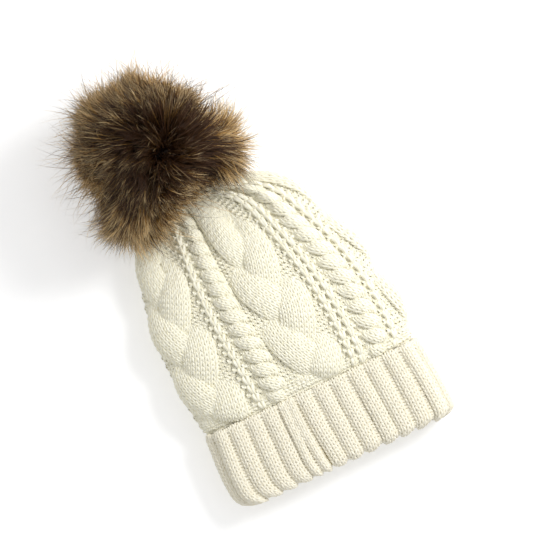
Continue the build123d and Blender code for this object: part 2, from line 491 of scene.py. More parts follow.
def joined(parts):
    """Several (points, faces, uv) as one."""
    points, faces, uvs, start = [], [], [], 0
    for p, f, uv in parts:
        points.append(p)
        faces.append(f + start)
        uvs.append(uv)
        start += len(p)
    return np.concatenate(points), np.concatenate(faces), np.concatenate(uvs)


def ribbon(place, r, p, h, wales, pitch=WALE, row=ROW, lift=LOOP_HEIGHT, face=KNIT, dive=0.0,
           yarn=YARN, samples=12, sides=6, crowd=None):
    """Knitted strip of some wales along the path p(r) at the height h(r), as loops of yarn.

    dive is how far the strip's edges turn under, and crowd scales the yarn's thickness by row.
    A path, height or dive that stays the same can be one number."""
    p, h, dive = (np.broadcast_to(values, r.shape) for values in (p, h, dive))
    way = np.concatenate([[0], np.cumsum(np.hypot(np.diff(p), np.diff(r)))])
    rows = int(way[-1] / row)
    s_mid = (np.arange(rows) + 0.5) * row
    a_mid = (np.arange(wales) - (wales - 1) / 2) * pitch
    s_mid, a_mid = (x.ravel() for x in np.meshgrid(s_mid, a_mid, indexing="ij"))
    jitter = rng.normal(0, 1, (4, len(s_mid), 1))
    t = np.linspace(-math.pi, math.pi, samples + 1)
    reach = pitch * (t / TAU + 0.25 * np.sin(2 * t))
    a = a_mid[:, None] + reach * (1 + UNEVEN_LOOP * jitter[0])
    tall = lift * row * (1 + UNEVEN_LOOP * jitter[1])
    s = s_mid[:, None] + tall * np.cos(t) + UNEVEN_ROW * jitter[2]
    s = np.clip(s, 0, way[-1])
    along_r = np.interp(s, way, r)
    along_p = np.interp(s, way, p)
    slope_p = np.interp(s, way, np.gradient(p, way))
    slope_r = np.interp(s, way, np.gradient(r, way))
    edge = np.abs(a) / (wales * pitch / 2)
    depth = yarn * LOOP_DEPTH * face * np.cos(2 * t)
    turned = np.interp(s, way, dive) * edge**EDGE_TURN
    out = np.interp(s, way, h) + depth - turned + UNEVEN_HEIGHT * jitter[3]
    centres, normals = place(along_p + a * slope_r, along_r - a * slope_p, out)
    thick = np.full(s.shape, yarn) if crowd is None else yarn * crowd(along_r)
    return tubes(centres, normals, thick, sides)


def belongs(piece, slot, body=None, *nodes):
    """Puts a piece on the body it rides and hides the CAD nodes it replaces. The slot is not used."""
    if body:
        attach(piece, body)
    if nodes:
        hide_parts(*nodes)
    return piece


def yarn_piece(name, parts, material, body=None, *nodes):
    """One piece of the hat from its tubes of yarn."""
    points, faces, uv = joined(parts)
    return belongs(add_mesh(name, points, faces, material, uv), "cream_yarn", body, *nodes)


def shell(place, rows, columns, start, end, round_length, outer, inner):
    """Closed sheet between two heights over a surface: points and faces."""
    turns = np.arange(columns) / columns
    s, u = np.meshgrid(np.linspace(start, end, rows), turns * round_length, indexing="ij")
    skins = [place(u, s, np.full(s.shape, height))[0] for height in (outer, inner)]
    points = np.stack(skins)
    points[..., 2] = np.maximum(points[..., 2], FLOOR)
    face = grid_faces(rows, columns, closed=True)
    inside = face[:, ::-1] + rows * columns
    c = np.arange(columns)
    c2 = (c + 1) % columns
    low = stacked(c2, c, c + rows * columns, c2 + rows * columns)
    high = low[:, [1, 0, 3, 2]] + (rows - 1) * columns
    return points.reshape(-1, 3), np.concatenate([face, inside, low, high])


# ---- materials

def new_material(name, roughness, **inputs):
    """Material, node tree and shader. In an input's name an underscore stands for a space."""
    material = bpy.data.materials.new(name)
    material.use_nodes = True
    tree = material.node_tree
    shader = tree.nodes["Principled BSDF"]
    for key, value in {"Roughness": roughness, **inputs}.items():
        shader.inputs[key.replace("_", " ")].default_value = value
    return material, tree, shader


def add_node(tree, kind, **settings):
    """Node with its properties and unlinked inputs set."""
    node = tree.nodes.new(kind)
    for key, value in settings.items():
        if hasattr(node, key):
            setattr(node, key, value)
        else:
            node.inputs[key].default_value = value
    return node


def texture(tree, kind, place, output="Fac", **settings):
    """Output of a texture node, such as Noise, at a place."""
    node = add_node(tree, "ShaderNodeTex" + kind, **settings)
    tree.links.new(place, node.inputs["Vector"])
    return node.outputs[output]


def stitch_uv(tree):
    """The piece's own UV."""
    return add_node(tree, "ShaderNodeUVMap", uv_map=BAKE_UV).outputs["UV"]


def object_place(tree):
    """Place in the object's own space, in metres."""
    return tree.nodes.new("ShaderNodeTexCoord").outputs["Object"]


def ramp(tree, fac, stops):
    """Colour by a factor, through stops of position and colour."""
    node = tree.nodes.new("ShaderNodeValToRGB")
    elements = node.color_ramp.elements
    while len(elements) < len(stops):
        elements.new(0.5)
    for element, (position, color) in zip(elements, stops):
        element.position = position
        element.color = (*color, 1)
    tree.links.new(fac, node.inputs["Fac"])
    return node.outputs["Color"]


def paint(tree, shader, fac, *stops):
    """The shader's colour by a factor."""
    tree.links.new(ramp(tree, fac, stops), shader.inputs["Base Color"])


def mapped(tree, source, scale):
    """Coordinates scaled along each axis."""
    mapping = add_node(tree, "ShaderNodeMapping", Scale=scale)
    tree.links.new(source, mapping.inputs["Vector"])
    return mapping.outputs["Vector"]


def bump(tree, shader, height, strength, distance):
    """Relief from a height."""
    node = add_node(tree, "ShaderNodeBump", Strength=strength, Distance=distance)
    tree.links.new(height, node.inputs["Height"])
    tree.links.new(node.outputs["Normal"], shader.inputs["Normal"])


def weighted(tree, *shares, base=0.0):
    """A base value plus outputs, each times its share."""
    total = base
    for output, share in shares:
        node = add_node(tree, "ShaderNodeMath", operation="MULTIPLY_ADD")
        for socket, value in zip(node.inputs, (output, share, total)):
            if isinstance(value, float):
                socket.default_value = value
            else:
                tree.links.new(value, socket)
        total = node.outputs["Value"]
    return total


def yarn_material(name, deep, pale):
    """Soft plied yarn: strands wound round it with painted shade in the grooves between them, fine fibres,
    and a tone for each stitch.
    """
    material, tree, shader = new_material(name, 0.85, Sheen_Weight=0.25, Sheen_Roughness=0.5,
                                          Specular_IOR_Level=0.25)
    uv = stitch_uv(tree)
    ply_height_and_shade = texture(tree, "Wave", mapped(tree, uv, (0.75, 0.5, 1)), bands_direction="DIAGONAL",
                  Scale=4.0 * CELLS, Distortion=1.5, Detail=2.0)
    fibre = texture(tree, "Noise", mapped(tree, uv, (1.0, 4.0, 1)), Scale=40.0, Detail=4.0, Roughness=0.7)
    tone = texture(tree, "Noise", uv, Scale=2.2 * CELLS, Detail=1.0)
    # The stripes of the plies darken the colour in their grooves: painted shade. The fibre noise and each
    # stitch's tone are the yarn's own colour.
    shade = weighted(tree, (ply_height_and_shade, 0.3), (fibre, 0.35), (tone, 0.45), base=0.1)
    paint(tree, shader, shade, (0.25, deep), (0.7, pale))
    bump(tree, shader, weighted(tree, (ply_height_and_shade, 0.8), (fibre, 1.0)), 0.5, 0.0004)
    return material


def painted_shade_material(name, deep, pale):
    """A darker cream sheet behind the stitches, painted shade seen through the gaps between loops: rows of
    small bumps, painted darker towards their edges as shade between them.
    """
    material, tree, shader = new_material(name, 0.95)
    place = object_place(tree)
    loops = texture(tree, "Voronoi", mapped(tree, place, (1, 1.15, 1)), "Distance", Scale=260.0,
                    Randomness=0.35)
    fibre = texture(tree, "Noise", place, Scale=900.0, Detail=3.0)
    shade = weighted(tree, (loops, 0.9), (fibre, 0.4))
    # Darker where the bumps meet: painted shade.
    paint(tree, shader, shade, (0.2, pale), (0.75, deep))
    bump(tree, shader, shade, 0.6, 0.0008)
    return material


def fur_material(name):
    """Faux fur hair: dark at the root, olive brown in the middle, a tip by its tone."""
    material, tree, shader = new_material(name, 0.42, Specular_IOR_Level=0.2)
    split = tree.nodes.new("ShaderNodeSeparateXYZ")
    tree.links.new(stitch_uv(tree), split.inputs["Vector"])
    tone, along = split.outputs["X"], split.outputs["Y"]
    dark = ramp(tree, along, [(0.0, (0.006, 0.002, 0.001)), (0.5, (0.020, 0.007, 0.002)),
                              (0.8, (0.044, 0.014, 0.005)), (1.0, (0.012, 0.006, 0.004))])
    pale = ramp(tree, along, [(0.0, (0.014, 0.005, 0.002)), (0.35, (0.130, 0.050, 0.010)),
                              (0.6, (0.52, 0.29, 0.078)), (0.86, (0.93, 0.70, 0.38)),
                              (1.0, (0.62, 0.49, 0.31))])
    mix = add_node(tree, "ShaderNodeMix", data_type="RGBA")
    for source, socket in ((tone, mix.inputs["Factor"]), (dark, mix.inputs[6]), (pale, mix.inputs[7]),
                           (mix.outputs[2], shader.inputs["Base Color"])):
        tree.links.new(source, socket)
    return material


def metal_material(name, color):
    """Brushed metal, a little worn."""
    material, tree, shader = new_material(name, 0.32, Metallic=1.0)
    wear = texture(tree, "Noise", object_place(tree), Scale=450.0, Detail=5.0)
    worn = tuple(c * 0.7 for c in color)
    paint(tree, shader, wear, (0.35, worn), (0.65, color))
    bump(tree, shader, wear, 0.15, 0.0002)
    return material


def cloth_material(name, deep, pale, scale, roughness=0.85):
    """Fine plain weave or felt in the object's own space."""
    material, tree, shader = new_material(name, roughness)
    place = object_place(tree)
    threads = [texture(tree, "Wave", place, bands_direction=way, Scale=scale, Distortion=0.6) for way in "XY"]
    nap = texture(tree, "Noise", place, Scale=700.0, Detail=5.0)
    shade = weighted(tree, (threads[0], 0.3), (threads[1], 0.3), (nap, 0.5))
    paint(tree, shader, shade, (0.25, deep), (0.75, pale))
    bump(tree, shader, shade, 0.4, 0.0003)
    return material


CREAM = yarn_material("cream_yarn_plied", (0.78, 0.71, 0.45), (0.91, 0.885, 0.75))
# The cuff's and band's yarn: the same cream yarn made darker, painted shade.
SHADED_RIB_CREAM = yarn_material("cream_rib_plied_painted_shade", (0.74, 0.665, 0.465), (0.87, 0.83, 0.70))
# A darker cream than the yarn, for the sheet behind the knit: painted shade in the gaps between stitches.
PAINTED_SHADE_BACKING = painted_shade_material("cream_backing_painted_shade", (0.42, 0.35, 0.16), (0.72, 0.65, 0.42))
FUR = fur_material("brown_fur_hair")
SATIN = cloth_material("white_satin", (0.74, 0.74, 0.72), (0.93, 0.93, 0.91), 1800.0, 0.4)
BACKING = cloth_material("brown_felt_backing", (0.045, 0.025, 0.014), (0.12, 0.075, 0.045), 500.0)
PAD = cloth_material("cream_felt_washer", (0.55, 0.48, 0.34), (0.80, 0.74, 0.60), 500.0)
THREAD = cloth_material("brown_thread", (0.03, 0.016, 0.009), (0.10, 0.06, 0.035), 900.0)
SNAP = metal_material("brushed_nickel", (0.62, 0.60, 0.57))
UNDERFUR = cloth_material("brown_underfur", (0.008, 0.004, 0.002), (0.03, 0.016, 0.008), 300.0)


# ---- the crown's knit

# PERIOD is the length of the whole pattern, which starts at the y START, slows down and stops
# between the two of END. Strands swing and rise this much, and their edges turn under by TURN.
PLAIT_WALES = 7
PLAIT_WIDTH = 58.0
PLAIT_PERIOD = 156.0
PLAIT_START = 113.0
PLAIT_END = (190.0, 250.0)
PLAIT_SWING = 14.0
PLAIT_RISE = 3.9
PLAIT_TURN = 3.4
PLAIT_HEIGHT = 0.8
ROPE_WALES = 3
ROPE_PITCH, ROPE_ROW = 4.0, 3.8
ROPE_WIDTH = 23.0
ROPE_PERIOD = 26.0
ROPE_SWING = 5.8
ROPE_RISE = 4.2
ROPE_TURN = 2.8
ROPE_HEIGHT = 0.4
LADDER_PITCH = 4.2
# A ladder's chains and the rungs between them have tall, thick stitches.
CHAIN = dict(row=2 * ROW, lift=0.55, yarn=YARN * 1.6)
RUNG = dict(row=2 * ROW, lift=0.45, yarn=YARN * 1.45, face=PURL)
CHAIN_HEIGHT, RUNG_HEIGHT, RUNG_SPREAD = 0.3, -1.0, 1.1
GROUND = dict(face=PURL, yarn=YARN * 1.15, samples=8)
GROUND_WALES, GROUND_HEIGHT = 3, -1.3
FIRST_ROWS_END = 78.5
# Outer and inner height of the darker sheet behind the stitches, which paints the shade seen through the
# gaps.
SHADE_SHEET_DEPTHS = (-2.6, -5.4)

# The bands round the crown from the left of the front: kind and width in mm at the widest.
BANDS = [
    ("plait", PLAIT_WIDTH), ("ladder", 14.0), ("rope", ROPE_WIDTH),
    ("plait", PLAIT_WIDTH), ("ladder", 20.0), ("rope", ROPE_WIDTH), ("ladder", 11.0),
    ("plait", PLAIT_WIDTH), ("ladder", 18.0), ("rope", ROPE_WIDTH), ("ladder", 16.0),
    ("plait", PLAIT_WIDTH), ("ladder", 18.0), ("rope", ROPE_WIDTH), ("ladder", 23.0),
]
BANDS_START = -112.0
path_r = np.linspace(0, CROWN_LENGTH, 500)
path_y = np.interp(path_r, ROW_LENGTHS, FRONT_Y)
# Strands come up out of the cuff.
tucked = 3.5 * (1 - smooth_step(path_y, 70.0, 80.0))


def crowd(r):
    """Yarn pulled together at the tip looks thinner."""
    return np.clip(squeeze(r) * 1.35, 0.3, 1)


def strip(p, h, wales, **kind):
    """Strip of stitches all the way up the crown."""
    return ribbon(on_crown, path_r, p, h, wales, crowd=crowd, **kind)


def plait(middle):
    """Three strands of plain knit that pass over and under each other."""
    strands = []
    start, end = (row_of_y(y) for y in PLAIT_END)
    slowing = np.clip(path_r - start, 0, end - start)
    twisted = np.minimum(path_r, end) - 0.5 * slowing**2 / (end - start)
    for k in range(3):
        t = TAU * (twisted - row_of_y(PLAIT_START)) / PLAIT_PERIOD + k * TAU / 3
        p = middle + PLAIT_SWING * np.sin(t)
        h = PLAIT_HEIGHT + PLAIT_RISE * np.sin(2 * t) - tucked
        strands.append(strip(p, h, PLAIT_WALES, dive=PLAIT_TURN))
    return strands


def rope(middle):
    """Two narrow strands twisted round each other."""
    strands = []
    for k in range(2):
        t = TAU * path_r / ROPE_PERIOD + k * math.pi
        p = middle - ROPE_SWING * np.sin(t)
        h = ROPE_HEIGHT + ROPE_RISE * np.cos(t) - tucked
        strands.append(strip(p, h, ROPE_WALES, pitch=ROPE_PITCH, row=ROPE_ROW, dive=ROPE_TURN))
    return strands


def ground(middle, width):
    """Purl stitches behind a band's edges, where its strands leave gaps."""
    reach = (width - GROUND_WALES * WALE) / 2
    return [strip(middle + side * reach, GROUND_HEIGHT, GROUND_WALES, **GROUND) for side in (-1, 1)]


def ladder(middle, width):
    """Chains of plain stitches with open rungs of purl between them."""
    wales = 2 * round((width / LADDER_PITCH - 1) / 2) + 1
    pitch = width / wales
    strips = []
    for k in range(wales):
        height, spread, kind = (CHAIN_HEIGHT, 1.0, CHAIN) if k % 2 else (RUNG_HEIGHT, RUNG_SPREAD, RUNG)
        strips.append(strip(middle + (k - (wales - 1) / 2) * pitch, height, 1, pitch=pitch * spread, **kind))
    return strips


def first_rows():
    """Purl rows right round the crown where it comes out of the cuff."""
    r = np.linspace(0, row_of_y(FIRST_ROWS_END), 40)
    wales = round(PERIMETER / WALE)
    h = 0.4 - 1.2 * np.abs(r / r[-1] * 2 - 1)
    return [ribbon(on_crown, r, 0.0, h, wales, pitch=PERIMETER / wales, row=3.4, face=PURL, yarn=YARN * 1.1)]


def add_shade_sheet(name, surface, body=None, *nodes):
    """A darker sheet behind a part's stitches, as one closed piece: painted shade seen through the gaps in
    the knit.
    """
    return belongs(add_mesh(name, *surface, PAINTED_SHADE_BACKING), "cream_knit", body, *nodes)


def build_crown():
    """The bands of cables and ladders round the crown."""
    pieces = [yarn_piece("crown_first_rows", first_rows(), CREAM)]
    numbers = {}
    left = BANDS_START
    for kind, width in BANDS:
        middle = left + width / 2
        left += width
        numbers[kind] = numbers.get(kind, 0) + 1
        if kind == "ladder":
            parts = ladder(middle, width)
        else:
            parts = (plait if kind == "plait" else rope)(middle) + ground(middle, width)
        pieces.append(yarn_piece(f"crown_{kind}_{numbers[kind]}", parts, CREAM))
    # The sheet behind the crown's knit is painted shade seen through its gaps.
    surface = shell(on_crown, 150, 260, 0, CROWN_LENGTH, PERIMETER, *SHADE_SHEET_DEPTHS)
    crown_sheet = add_shade_sheet("crown_shade_sheet", surface, None, "cable_knit_crown", "crown_gather")
    for piece in [crown_sheet, *pieces]:
        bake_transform(piece)


# ---- cuff and band

RIBS = 28
RIB_WALES = 3
RIB_PITCH = CUFF_ROUND / RIBS
RIB_WALE = 4.55
RIB_ROW = 3.5
RIB_HEIGHT = 0.6
RIB_TURN = 3.0
GROOVE_FLOOR = -2.6
# Ribs flatten between these distances from their top edge.
FLATTENING = (12.0, 2.0)
CUFF_GROUPS = 3
CUFF_SHADE_SHEET_DEPTHS = (-2.2, -3.8)
# One rib near the left end of the front is split in two at the hem, and closes up between these y.
SPLIT_END = (8.0, 42.0)
SPLIT_RIB = RIBS - 2
SPLIT_PUSH = 2.4
SPLIT_PITCH = RIB_WALE * 0.78
SPLIT_DEPTH = 2.4
BAND_TOP = 66.0
BAND_INSIDE_TOP = 30.0
BAND_SHADE_SHEET_DEPTHS = (-1.8, -3.6)


def rib(place, way, middle, wiggle, parted=None, **finer):
    """One rib of plain stitches and the purl groove beside it. Where it is parted it is two cords."""
    near_top = smooth_step(way, way[-1] - FLATTENING[0], way[-1] - FLATTENING[1])
    rib_h = RIB_HEIGHT - 0.5 * near_top
    turn = RIB_TURN * (1 - 0.6 * near_top)
    groove_h = GROOVE_FLOOR * (1 - 0.5 * near_top)
    width = RIB_PITCH - RIB_WALES * RIB_WALE
    path = middle + wiggle
    purl = dict(row=RIB_ROW * 0.8, face=PURL, **finer)
    if parted is None:
        cords = [ribbon(place, way, path, rib_h, RIB_WALES, pitch=RIB_WALE, row=RIB_ROW, dive=turn, **finer)]
    else:
        shift = SPLIT_PITCH + 1.2 * parted
        cords = [ribbon(place, way, path + side * shift, rib_h, 2, pitch=SPLIT_PITCH, row=RIB_ROW,
                        dive=0.8 + 1.8 * parted, **finer) for side in (-1, 1)]
        cords.append(ribbon(place, way, path, rib_h - SPLIT_DEPTH, 1, pitch=5.0, **purl))
    return [*cords, ribbon(place, way, path + RIB_PITCH / 2, groove_h, 1, pitch=width * 1.6, **purl)]


def build_cuff():
    """The turned-up cuff's ribs, from inside the mouth round the hem to the top edge."""
    way = np.linspace(0.5, CUFF_WAY[-1] - 0.3, 300)
    parted = 1 - smooth_step(np.interp(way, CUFF_WAY, CUFF_LINE[:, 0]), *SPLIT_END)
    groups = np.array_split(np.arange(RIBS), CUFF_GROUPS)
    for number, group in enumerate(groups, 1):
        parts = []
        for k in group:
            lean = rng.normal(0, 0.7) * np.sin(way / way[-1] * 2.5 + rng.uniform(0, TAU))
            away = k - SPLIT_RIB
            pushed = np.sign(away) * SPLIT_PUSH * math.exp(-0.5 * abs(away)) * parted
            parts += rib(on_cuff, way, (k + 0.5) * RIB_PITCH, lean + pushed, parted if away == 0 else None)
        yarn_piece(f"cuff_ribs_{number}", parts, SHADED_RIB_CREAM, "cuff")
    # The sheet behind the cuff's ribs is painted shade seen through their gaps.
    surface = shell(on_cuff, 70, 300, 0, CUFF_WAY[-1], CUFF_ROUND, *CUFF_SHADE_SHEET_DEPTHS)
    backing = add_shade_sheet("cuff_shade_sheet", surface, "cuff", "turned_up_cuff")


def build_band():
    """The standing band behind the cuff, ribbed outside and just inside the mouth."""
    finer = dict(samples=8, sides=4)
    outside = np.linspace(0.5, BAND_TOP, 200)
    inside = np.linspace(0.5, BAND_INSIDE_TOP, 100)
    for name, place, way in (("band_ribs", on_band, outside), ("band_ribs_inside", in_band, inside)):
        parts = []
        for k in range(RIBS):
            parts += rib(place, way, (k + 0.5) * RIB_PITCH, 0.0, **finer)
        yarn_piece(name, parts, SHADED_RIB_CREAM, "hat")
    # The sheet behind the band's ribs is painted shade seen through their gaps.
    surface = shell(on_band, 40, 300, 0, BAND_TOP + 0.5, CUFF_ROUND, *BAND_SHADE_SHEET_DEPTHS)
    backing = add_shade_sheet("band_shade_sheet", surface, "hat", "rib_band")


# ---- seam, label, gathering yarn and snap

SEAM_RIDGE = 1.2
SEAM_WINDING = 1.5
SEAM_PITCH = 3.2
FINE_YARN = 0.55
LABEL_THICKNESS = 0.44
LABEL_LIFT = 0.5
LABEL_HEM = 0.22
GATHER_TURNS = 3
GATHER_SPREAD = 2.6
GATHER_INSET = 0.9
PLY_OFFSET = 0.45


def line_tube(line, normals, radius, sides=6):
    """One tube along a line of points."""
    return tubes(line[None], normals[None], np.full((1, len(line)), radius), sides)


def build_seam():
    """The join at the back of the knit: a soft ridge sewn over with yarn."""
    node = frame["nodes"]["back_seam"]
    count = len(node.data.vertices)
    flat = np.empty(count * 3)
    node.data.vertices.foreach_get("co", flat)
    ridge = flat.reshape(-1, 3) / MM - HEM
    order = ridge[np.argsort(ridge[:, 1])]
    low, high = order[0, 1], order[-1, 1]
    slices = [chunk.mean(0) for chunk in np.array_split(order, 24)]
    y = np.linspace(low + 1, high - 1, 260)
    z = np.interp(y, [c[1] for c in slices], [c[2] for c in slices])
    line = stacked(0.0, y, z)
    up = np.broadcast_to((0.0, 0.0, 1.0), line.shape)
    parts = [line_tube(line, up, SEAM_RIDGE, 8)]
    fine = np.linspace(low + 1, high - 1, 1400)
    for start in (0, math.pi):
        turn = TAU * fine / SEAM_PITCH + start
        side, rise = SEAM_WINDING * np.cos(turn), SEAM_WINDING * np.sin(turn)
        wound = stacked(side, fine, np.interp(fine, y, z) + rise)
        parts.append(line_tube(wound, np.broadcast_to((0.0, 1.0, 0.0), wound.shape), FINE_YARN))
    yarn_piece("seam_stitching", parts, CREAM, "hat", "back_seam")


def build_label():
    """A small blank satin label with turned ends and a soft wave."""
    low, high = node_box("care_label")
    sides = (np.linspace(low[k], high[k], count) for k, count in ((0, 30), (1, 44)))
    x, y = np.meshgrid(*sides, indexing="ij")
    across = (x - low[0]) / (high[0] - low[0])
    along = (y - low[1]) / (high[1] - low[1])
    wave = 0.5 * np.sin(along * 4.2) * across + 0.25 * np.sin(across * 5.0)
    hem = LABEL_HEM * (smooth_step(along, 0.06, 0.04) + smooth_step(along, 0.94, 0.96))
    middle = (low[2] + high[2]) / 2 + LABEL_LIFT + wave
    skins = [stacked(x, y, middle + side * (LABEL_THICKNESS / 2 + hem)) for side in (1, -1)]
    rows, columns = x.shape
    top = grid_faces(rows, columns)
    under = top[:, ::-1] + rows * columns
    index = np.arange(rows * columns).reshape(rows, columns)
    rim = np.concatenate([index[0, :-1], index[:-1, -1], index[-1, :0:-1], index[:0:-1, 0]])
    ahead = np.roll(rim, -1)
    side = stacked(rim, rim + rows * columns, ahead + rows * columns, ahead)
    points = np.concatenate([skin.reshape(-1, 3) for skin in skins])
    faces = np.concatenate([top, under, side])[:, ::-1]
    label = belongs(add_mesh("blank_label", points, faces, SATIN), "label_satin", "hat", "care_label")


def build_gathering():
    """Yarn wound round the gathered tip, two plies twisted, three turns."""
    low, high = node_box("gather_yarn")
    middle = (low + high) / 2
    side = np.array((1.0, 0.0, 0.0))
    other = np.cross(POM_AXIS, side)
    radius = (high[0] - low[0]) / 2 - GATHER_INSET
    t = np.linspace(0, TAU * GATHER_TURNS, 90 * GATHER_TURNS)
    out = side * np.cos(t)[:, None] + other * np.sin(t)[:, None]
    rise = (t / t[-1] - 0.5) * GATHER_SPREAD
    parts = []
    for start in (0, math.pi):
        twist = t * 7 + start
        line = (middle + out * (radius + PLY_OFFSET * np.cos(twist))[:, None]
                + POM_AXIS * (rise + PLY_OFFSET * np.sin(twist))[:, None])
        parts.append(line_tube(line, out, FINE_YARN, 8))
    yarn_piece("gathering_yarn", parts, CREAM, "crown_tip", "gather_yarn")


def dress(node, material):
    """Gives a kept CAD node its material."""
    piece = frame["nodes"][node]
    if not piece.data.materials:
        piece.data.materials.append(material)
    for slot in piece.material_slots:
        slot.material = material


# ---- the pom

FUR_MIDDLE = POM_MIDDLE + np.array((-2.0, 0.0, 0.0))
# The skin is a ball with a disc at the end of a funnel underneath. Angles are from the pom's
# axis, and the fur parts round the hat's tip out to the last one.
SKIN_RADIUS = 43.0
DISC_REACH = 35.5
FUNNEL_IN, FUNNEL_OUT, FUNNEL_FUR = (math.radians(degrees) for degrees in (25, 50, 58))
FUR_REACH = 71.5
HAIRS = 64000
CLUMPS = 800
LOCKS = 4200
# The share of hairs that stray, and of dark and bright guard hairs.
WISPS, DARK, BRIGHT = 0.12, 0.22, 0.09
# Share of the funnel's hairs that lie against the hat, and the lean of those and of the rest.
DRAPED, DRAPED_LEAN, PARTED_LEAN = 0.6, -0.30, 0.38
HAIR_WIDTH = 0.30
HAIR_TAPER = np.array([1.0, 1.0, 0.92, 0.76, 0.48, 0.0])
HAIR_SIDES = 3
HAIR_GROUPS = 9
# Hair lies over the crown at this height and keeps this far above the table.
OVER_CROWN = 2.8
OVER_TABLE = 0.4
CROWN_OF_POM = unit(np.array((0.20, -0.17, 1.0)))
FUR_LIMITS = np.array([(-115.5, 90.0, -5.0), (115.5, 390.0, 144.0)])

# Tufts that stand out of the ball or gaps where it falls short: direction in x and y, spread, mm.
TUFTS = [
    (-0.84, -0.54, 0.22, 6.0), (-0.68, -0.73, 0.18, 19.0), (-0.96, -0.29, 0.15, -7.0),
    (-0.99, -0.06, 0.20, -10.0), (-0.95, 0.31, 0.22, -6.0), (-0.73, 0.68, 0.18, -8.0),
    (-0.50, 0.87, 0.20, 2.0), (-0.14, 0.99, 0.30, -11.0), (0.45, 0.88, 0.30, -5.0),
    (0.84, 0.54, 0.40, -12.0), (1.00, 0.03, 0.28, -23.0), (0.90, -0.44, 0.18, 19.0),
    (0.20, -0.98, 0.60, -24.0),
]


def sphere_points(count, seed):
    """Directions spread evenly over a sphere, each a little out of place."""
    random = np.random.default_rng(seed)
    k = np.arange(count) + 0.5
    z = 1 - 2 * k / count
    turn = k * math.pi * (3 - math.sqrt(5))
    flat = np.sqrt(1 - z * z)
    points = stacked(flat * np.cos(turn), flat * np.sin(turn), z)
    return unit(points + random.normal(0, 1.1 / math.sqrt(count), points.shape))


def angle_from(d, axis):
    """Angle between each direction and an axis."""
    return np.arccos(np.clip(d @ axis, -1, 1))


def skin_radius(d):
    """How far the pom's skin is from its middle: a ball with a funnel where the hat's tip enters."""
    angle = angle_from(d, -POM_AXIS)
    inner = DISC_REACH / np.cos(np.minimum(angle, FUNNEL_OUT))
    open_up = smooth_step(angle, FUNNEL_IN, FUNNEL_OUT)
    return np.where(angle < FUNNEL_OUT, inner * (1 - open_up) + SKIN_RADIUS * open_up, SKIN_RADIUS)


def nearest(points, targets, batch=4000):
    """The index of the nearest target direction for each direction."""
    batches = (points[k:k + batch] for k in range(0, len(points), batch))
    return np.concatenate([np.argmax(some @ targets.T, axis=1) for some in batches])


def crown_top():
    """Height of the crown's upper side over a grid of x and y, -1 where there is none."""
    step = 2.0
    start = np.array((-120.0, 150.0))
    size = np.array((110, 80))

    def cell(xy):
        return tuple(np.moveaxis(np.clip(((xy - start) / step).astype(int), 0, size - 1), -1, 0))

    heights = np.full(size, -1.0)
    flat = CROWN_GRID.reshape(-1, 3)
    np.maximum.at(heights, cell(flat[:, :2]), flat[:, 2])
    for _ in range(2):
        padded = np.pad(heights, 1, constant_values=-1)
        around = [padded[i:i + size[0], j:j + size[1]] for i in range(3) for j in range(3)]
        heights = np.max(around, axis=0)

    def top(xy):
        inside = ((xy > start) & (xy < start + size * step)).all(-1)
        return np.where(inside, heights[cell(xy)], -1.0)

    return top


def combed(d):
    """The way hair leans over the skin: out from the top of the pom, with eddies."""
    from_top = d - CROWN_OF_POM * (d @ CROWN_OF_POM)[:, None]
    x, y, z = (d * 3.0).T
    eddies = stacked(*(waves(seed, 5, (x, 1.7), (y, 1.7), (z, 1.7)) for seed in (11, 12, 13)))
    swirl = np.cross(CROWN_OF_POM, d)
    lean = 0.62 * unit(from_top) * np.clip(np.linalg.norm(from_top, axis=-1, keepdims=True) * 2, 0, 1)
    lean = lean * smooth_step(d[:, 2:], -0.9, 0.1) + 0.24 * eddies + 0.10 * swirl
    return lean - d * (lean * d).sum(-1, keepdims=True)


def tufted(d):
    """How far the fur's outline stands out or falls short in this direction."""
    flat = unit(d[:, :2])
    low = np.linalg.norm(d[:, :2], axis=-1)
    total = np.zeros(len(d))
    for x, y, spread, amount in TUFTS:
        away = angle_from(flat, unit(np.array((x, y))))
        total += amount * np.exp(-(away / spread) ** 2) * smooth_step(low, 0.3, 0.9)
    return total


def kept_inside(points):
    """Hair that would reach out of the part's box is shortened towards its root."""
    root, tip = points[:, :1], points[:, -1:]
    grown = tip - root
    room = np.where(grown > 0, FUR_LIMITS[1] - root, FUR_LIMITS[0] - root)
    share = (room / np.where(np.abs(grown) < 1e-6, 1e-6, grown)).min(-1, keepdims=True)
    return root + (points - root) * np.clip(share, 0.2, 1)


def laid_down(points, random):
    """Hair lifted onto the crown and off the table, and which hairs would be under the crown."""
    count = len(points)
    over = crown_top()(points[..., :2]) + OVER_CROWN
    height = points[..., 2]
    blocked = (height < over) & (points[..., 1] < PIVOT[1] + 20)
    under = blocked & (height < over - 20)
    height = np.where(blocked & ~under, over + 0.6 * random.random((count, 1)), height)
    floor = FLOOR + OVER_TABLE + 1.2 * random.random((count, 1))
    points[..., 2] = np.maximum(height, floor)
    return points, under.any(1)


def hair_tone(d, patch, wisp, kind, clump, lock, own):
    """Tone from 0, dark, to 1, pale: darker at the top of the pom, with streaks and guard hairs."""
    from_top = angle_from(d, CROWN_OF_POM)
    from_middle = smooth_step(from_top, 0.15, 0.8)
    dark, bright = kind < DARK, kind > 1 - BRIGHT
    tone = -0.14 + 0.88 * smooth_step(from_top, 0.2, 1.2) + 0.16 * clump + 0.08 * patch
    tone += (0.44 * lock + own) * (0.45 + 0.55 * from_middle)
    tone += (0.25 + 0.25 * from_middle) * bright - 0.6 * dark - 0.25 * wisp
    tone += 0.20 * smooth_step(np.linalg.norm(d[:, :2], axis=-1), 0.72, 0.98)
    tone += 0.12 * (d @ np.array((-0.5, 0.85, 0.0)))
    tone += 0.16 * smooth_step(d @ unit(np.array((0.1, 0.9, 0.1))), 0.5, 1.0)
    return np.clip(tone, 0.02, 0.98)


